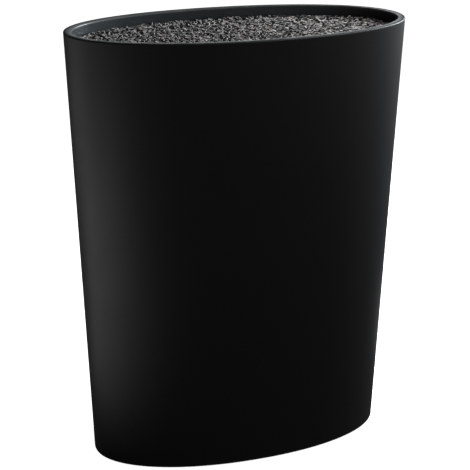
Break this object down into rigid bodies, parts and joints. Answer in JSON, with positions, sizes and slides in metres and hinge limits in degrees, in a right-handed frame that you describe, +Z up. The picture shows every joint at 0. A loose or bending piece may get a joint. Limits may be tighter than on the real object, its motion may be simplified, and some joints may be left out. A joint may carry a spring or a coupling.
{
  "type": "universal knife block",
  "caption": "Oval knife block: a tapered open-topped plastic housing on rubber feet, with a lift-out insert of upright plastic rods that hold blades of any shape.",
  "frame": {"origin": "on the table, under the middle of the block's footprint", "axes": "+Z up out of the open top, +X along the long side of the oval, -Y the front"},
  "size_m": [0.1744, 0.0868, 0.225],
  "materials": {
    "shell_black": "soft-touch matt black with a fine grain",
    "tray_black": "satin moulded black",
    "rod_grey": "satin dark grey extruded rods",
    "foot_rubber": "matt black rubber"
  },
  "bodies": {
    "housing": {"outer_shell": "shell_black", "rubber_foot_1": "foot_rubber", "rubber_foot_2": "foot_rubber", "rubber_foot_3": "foot_rubber", "rubber_foot_4": "foot_rubber"},
    "insert": {"insert_tray": "tray_black", "rod_base": "rod_grey", "rod_bundle_01": "rod_grey", "rod_bundle_02": "rod_grey", "rod_bundle_03": "rod_grey", "rod_bundle_04": "rod_grey", "rod_bundle_05": "rod_grey", "rod_bundle_06": "rod_grey", "rod_bundle_07": "rod_grey", "rod_bundle_08": "rod_grey", "rod_bundle_09": "rod_grey", "rod_bundle_10": "rod_grey", "rod_bundle_11": "rod_grey", "rod_bundle_12": "rod_grey", "rod_bundle_13": "rod_grey", "rod_bundle_14": "rod_grey"}
  },
  "joints": [
    {"name": "insert_lift", "type": "slide", "parent": "housing", "child": "insert", "axis": [0, 0, 1], "range_m": [0, 0.23]}
  ]
}
